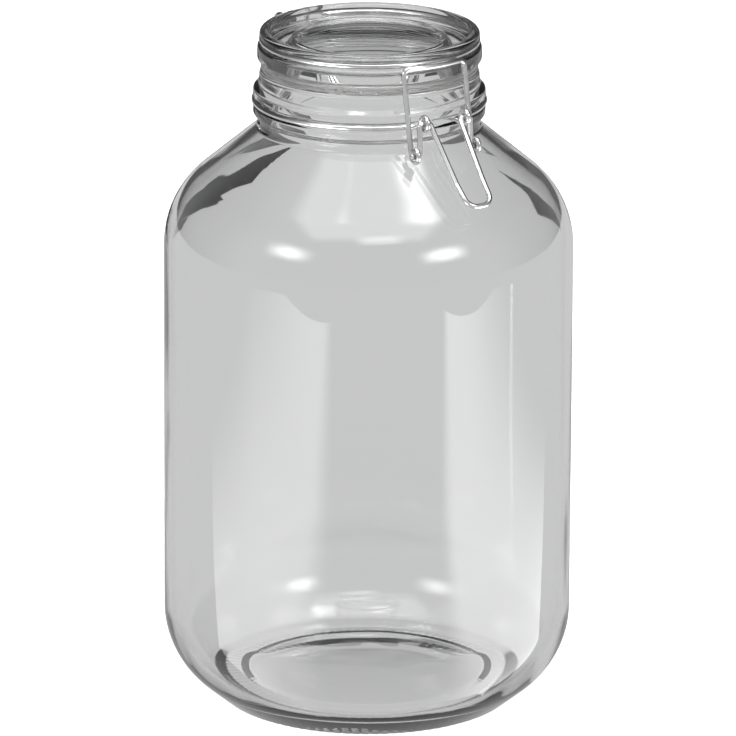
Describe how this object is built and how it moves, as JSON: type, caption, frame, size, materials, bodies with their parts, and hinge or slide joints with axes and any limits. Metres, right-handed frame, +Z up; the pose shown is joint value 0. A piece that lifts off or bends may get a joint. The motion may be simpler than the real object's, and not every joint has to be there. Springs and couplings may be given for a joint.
{
  "type": "bail clamp jar",
  "caption": "Large round glass storage jar with a flat glass lid, a clear sealing ring and a hinged wire clamp with a looped handle.",
  "frame": {"origin": "on the jar's axis, in the plane of the foot ring that it stands on", "axes": "+Z up along the jar's axis, -Y towards the clamp, +Y towards the lid's hinge, +X along the hinge"},
  "size_m": [0.18, 0.18, 0.3037],
  "materials": {
    "jar_glass": "clear pressed glass, fire polished",
    "lid_glass": "clear pressed glass with moulded rings",
    "seal_rubber": "translucent white, satin",
    "wire_steel": "bright drawn steel wire"
  },
  "bodies": {
    "jar": {"jar_body": "jar_glass", "neck_wire": "wire_steel"},
    "lid": {"lid_glass": "lid_glass", "seal_ring": "seal_rubber", "lid_wire": "wire_steel"},
    "lever": {"handle_lever": "wire_steel"},
    "link": {"clamp_link": "wire_steel"}
  },
  "joints": [
    {"name": "lid_hinge", "type": "hinge", "parent": "jar", "child": "lid", "pos_m": [0, 0.0575, 0.28475], "axis": [-1, 0, 0], "range_deg": [0, 95]},
    {"name": "lever_pivot", "type": "hinge", "parent": "jar", "child": "lever", "pos_m": [0, -0.0562, 0.27485], "axis": [-1, 0, 0], "range_deg": [0, 130]},
    {"name": "link_swing", "type": "hinge", "parent": "lever", "child": "link", "pos_m": [0, -0.0567, 0.26135], "axis": [-1, 0, 0], "range_deg": [-240, 0]}
  ],
  "couplings": [
    {"joint": "lever_pivot", "follows": "lid_hinge", "ratio": 1.3684},
    {"joint": "link_swing", "follows": "lid_hinge", "ratio": -2.5263}
  ]
}
